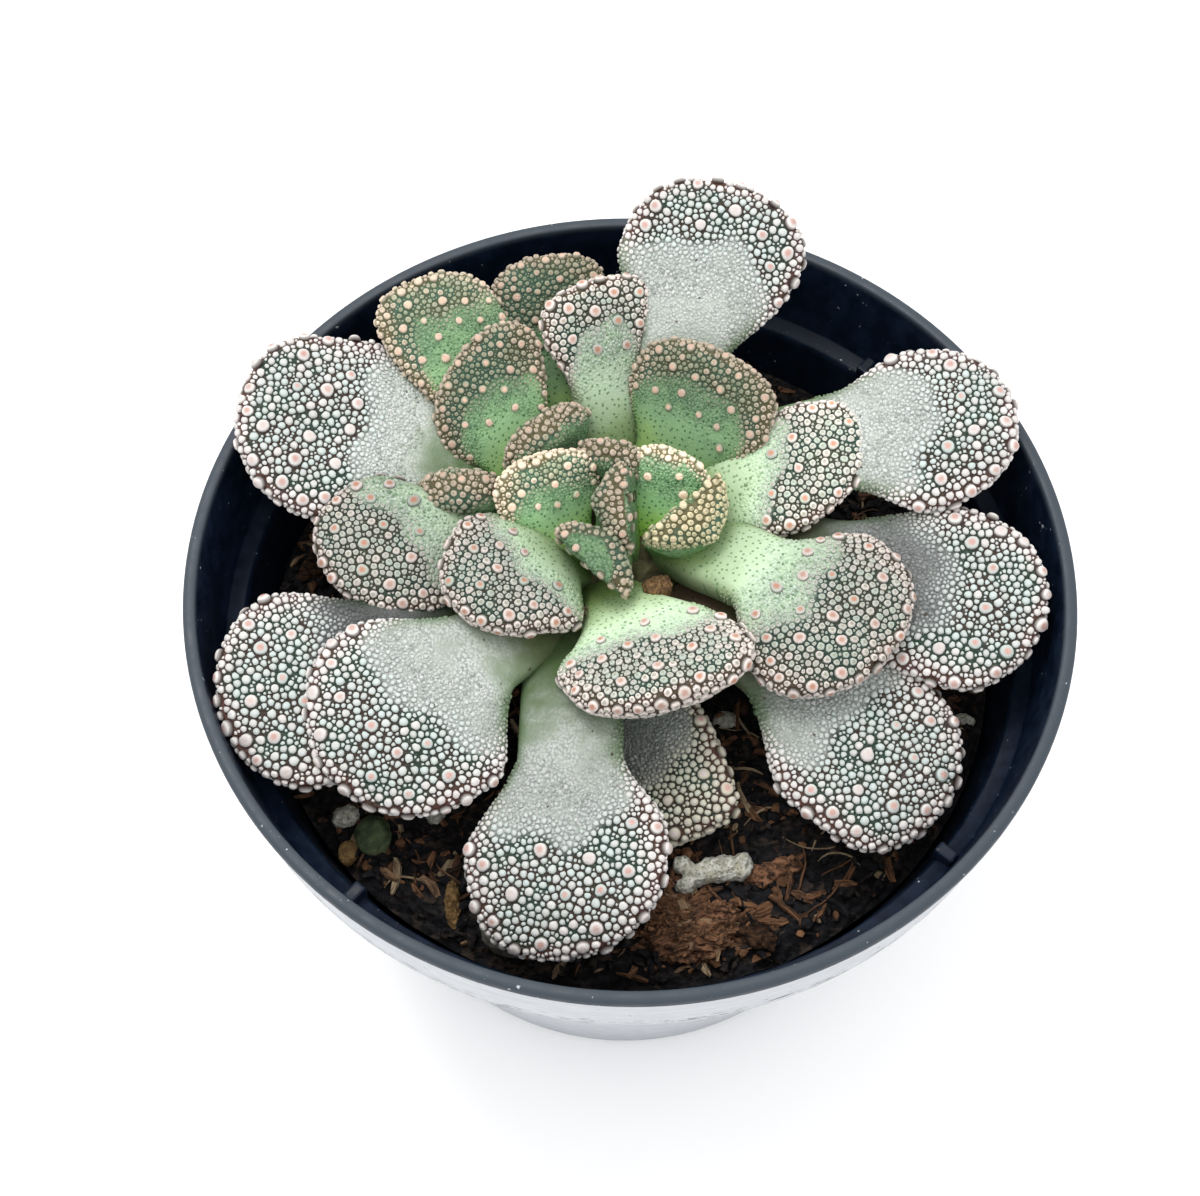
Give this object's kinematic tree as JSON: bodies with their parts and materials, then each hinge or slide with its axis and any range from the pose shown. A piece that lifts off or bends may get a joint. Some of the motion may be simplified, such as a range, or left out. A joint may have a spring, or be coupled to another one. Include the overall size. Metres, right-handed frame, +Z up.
{
  "type": "potted concrete leaf succulent",
  "caption": "Clump of thick spoon-shaped succulent leaves with warty tips, growing from one short stem in compost in a round plastic nursery pot.",
  "frame": {"origin": "centre of the pot's flat underside", "axes": "+Z up, +Y to the back of the plant as pictured, +X to its right"},
  "size_m": [0.09, 0.09, 0.0723],
  "materials": {
    "leaf_old": "matt grey-green skin with white warts",
    "leaf_middle": "matt pale green skin with cream warts",
    "leaf_young": "matt green skin with ochre warts",
    "leaf_withered": "dry and dark",
    "stem": "matt",
    "perlite": "rough white mineral",
    "stone": "rough",
    "bark": "rough damp bark",
    "soil": "dark damp compost of bark and fibre",
    "pot": "thin moulded plastic, pale outside, black inside and on the rim"
  },
  "bodies": {
    "root": {"leaf_01": "leaf_old", "leaf_02": "leaf_old", "leaf_03": "leaf_old", "leaf_04": "leaf_old", "leaf_05": "leaf_old", "leaf_06": "leaf_old", "leaf_07": "leaf_old", "leaf_08": "leaf_old", "leaf_09": "leaf_old", "leaf_10": "leaf_middle", "leaf_11": "leaf_young", "leaf_12": "leaf_young", "leaf_13": "leaf_young", "leaf_14": "leaf_middle", "leaf_15": "leaf_young", "leaf_16": "leaf_middle", "leaf_17": "leaf_middle", "leaf_18": "leaf_middle", "leaf_19": "leaf_middle", "leaf_20": "leaf_young", "leaf_21": "leaf_young", "leaf_22": "leaf_young", "leaf_23": "leaf_young", "leaf_24": "leaf_young", "leaf_25": "leaf_young", "leaf_26": "leaf_young", "leaf_27": "leaf_young", "leaf_28": "leaf_withered", "stem": "stem", "perlite_01": "perlite", "perlite_02": "perlite", "perlite_03": "perlite", "perlite_04": "perlite", "perlite_05": "perlite", "stone_grey": "stone", "stone_green": "stone", "stone_ochre": "stone", "stone_brown": "stone", "bark_01": "bark", "bark_02": "bark", "bark_03": "bark", "bark_04": "bark", "wood_sliver": "bark", "soil": "soil", "pot": "pot"}
  },
  "joints": []
}
